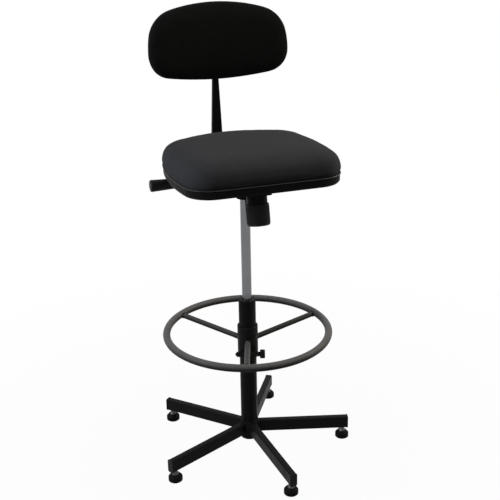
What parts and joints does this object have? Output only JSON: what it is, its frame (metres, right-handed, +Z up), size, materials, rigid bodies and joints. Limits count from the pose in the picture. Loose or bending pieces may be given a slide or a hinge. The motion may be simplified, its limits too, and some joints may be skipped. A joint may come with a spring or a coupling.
{
  "type": "conductor chair",
  "caption": "High swivel work chair on glides with a gas column, foot ring, tilting upholstered seat with a tension knob, and a low backrest on a tapered spine.",
  "frame": {"origin": "on the floor, on the column's axis", "axes": "+Z up; -Y the way the sitter faces; +X the sitter's left"},
  "size_m": [0.5861, 0.6014, 1.3003],
  "materials": {
    "black_powder_coat": "satin",
    "chrome_plate": "polished",
    "plated_steel": "satin",
    "black_plastic": "matte",
    "black_rubber": "matte",
    "plywood": "matte",
    "grey_fabric": "matte",
    "black_fabric": "matte"
  },
  "bodies": {
    "base": {"arm_1": "black_powder_coat", "arm_2": "black_powder_coat", "arm_3": "black_powder_coat", "arm_4": "black_powder_coat", "arm_5": "black_powder_coat", "hub_tube": "black_powder_coat", "arm_end_caps": "black_plastic", "glide_sockets": "plated_steel", "stand_tube": "black_powder_coat", "guide_bush": "black_plastic", "bottom_plate": "plated_steel"},
    "rod": {"piston_rod": "chrome_plate", "piston": "plated_steel", "thrust_bearing": "plated_steel", "rubber_buffer": "black_rubber", "rod_clip": "plated_steel"},
    "column": {"gas_cylinder": "chrome_plate", "rod_guide": "plated_steel", "taper_socket": "black_powder_coat", "tilt_housing": "black_powder_coat", "spring_cup": "black_powder_coat", "axle_bushes": "black_plastic", "tension_spring": "plated_steel"},
    "release_pin": {"release_pin": "plated_steel"},
    "lever": {"lever_rod": "plated_steel", "lever_grip": "black_plastic"},
    "tension_knob": {"tension_knob": "black_plastic", "tension_bolt": "plated_steel"},
    "seat": {"tilt_axle": "plated_steel", "seat_plate": "black_powder_coat", "spring_anchor": "plated_steel", "seat_board": "plywood", "seat_shell": "black_plastic", "seat_cushion": "grey_fabric", "seat_screws": "plated_steel", "tee_nuts": "plated_steel", "spine": "black_powder_coat", "spine_screws": "plated_steel"},
    "backrest": {"back_board": "plywood", "back_pad": "black_fabric", "back_shell": "black_plastic", "back_guide": "black_plastic", "back_screws": "plated_steel"},
    "back_knob": {"back_knob": "black_plastic"},
    "foot_ring": {"ring_tube": "black_powder_coat", "ring_spokes": "black_powder_coat", "ring_sleeve": "black_powder_coat", "clamp_nut": "black_powder_coat"},
    "ring_knob": {"ring_knob": "black_plastic", "clamp_bolt": "black_powder_coat"},
    "glide_1": {"glide_foot_1": "black_plastic", "glide_stem_1": "plated_steel"},
    "glide_2": {"glide_foot_2": "black_plastic", "glide_stem_2": "plated_steel"},
    "glide_3": {"glide_foot_3": "black_plastic", "glide_stem_3": "plated_steel"},
    "glide_4": {"glide_foot_4": "black_plastic", "glide_stem_4": "plated_steel"},
    "glide_5": {"glide_foot_5": "black_plastic", "glide_stem_5": "plated_steel"}
  },
  "joints": [
    {"name": "glide_1_turn", "type": "hinge", "parent": "base", "child": "glide_1", "pos_m": [0.02306, -0.28657, 0], "axis": [0, 0, 1], "continuous": true},
    {"name": "glide_2_turn", "type": "hinge", "parent": "base", "child": "glide_2", "pos_m": [0.27967, -0.06663, 0], "axis": [0, 0, 1], "continuous": true},
    {"name": "glide_3_turn", "type": "hinge", "parent": "base", "child": "glide_3", "pos_m": [0.14979, 0.2454, 0], "axis": [0, 0, 1], "continuous": true},
    {"name": "glide_4_turn", "type": "hinge", "parent": "base", "child": "glide_4", "pos_m": [-0.1871, 0.21829, 0], "axis": [0, 0, 1], "continuous": true},
    {"name": "glide_5_turn", "type": "hinge", "parent": "base", "child": "glide_5", "pos_m": [-0.26542, -0.11048, 0], "axis": [0, 0, 1], "continuous": true},
    {"name": "column_swivel", "type": "hinge", "parent": "base", "child": "rod", "pos_m": [0, 0, 0.035], "axis": [0, 0, 1], "continuous": true},
    {"name": "gas_lift", "type": "slide", "parent": "rod", "child": "column", "axis": [0, 0, 1], "range_m": [-0.26, 0]},
    {"name": "lever_pull", "type": "hinge", "parent": "column", "child": "lever", "pos_m": [-0.0335, 0, 0.8503], "axis": [0, 1, 0], "range_deg": [0, 4], "stiffness_Nm_per_rad": 4, "springref_deg": -8.59},
    {"name": "pin_press", "type": "slide", "parent": "column", "child": "release_pin", "axis": [0, 0, 1], "range_m": [-0.003, 0]},
    {"name": "tension_turn", "type": "hinge", "parent": "column", "child": "tension_knob", "pos_m": [0, -0.097, 0.831], "axis": [0, 0.1908, 0.9816], "range_deg": [-720, 720]},
    {"name": "seat_tilt", "type": "hinge", "parent": "column", "child": "seat", "pos_m": [0, 0.045, 0.84], "axis": [-1, 0, 0], "range_deg": [0, 8], "stiffness_Nm_per_rad": 120, "springref_deg": -17.19, "deforming": ["tension_spring"]},
    {"name": "backrest_height", "type": "slide", "parent": "seat", "child": "backrest", "axis": [0, 0, 1], "range_m": [-0.03, 0.04]},
    {"name": "back_knob_turn", "type": "hinge", "parent": "backrest", "child": "back_knob", "pos_m": [0, 0.25, 1.163], "axis": [0, 1, 0], "range_deg": [-360, 360]},
    {"name": "ring_height", "type": "slide", "parent": "base", "child": "foot_ring", "axis": [0, 0, 1], "range_m": [-0.21, 0.08]},
    {"name": "ring_knob_turn", "type": "hinge", "parent": "foot_ring", "child": "ring_knob", "pos_m": [-0.01035, -0.02922, 0.3185], "axis": [0.9426, -0.3338, 0], "range_deg": [-360, 360]}
  ],
  "couplings": [
    {"joint": "pin_press", "follows": "lever_pull", "m_per_rad": -0.0335}
  ]
}
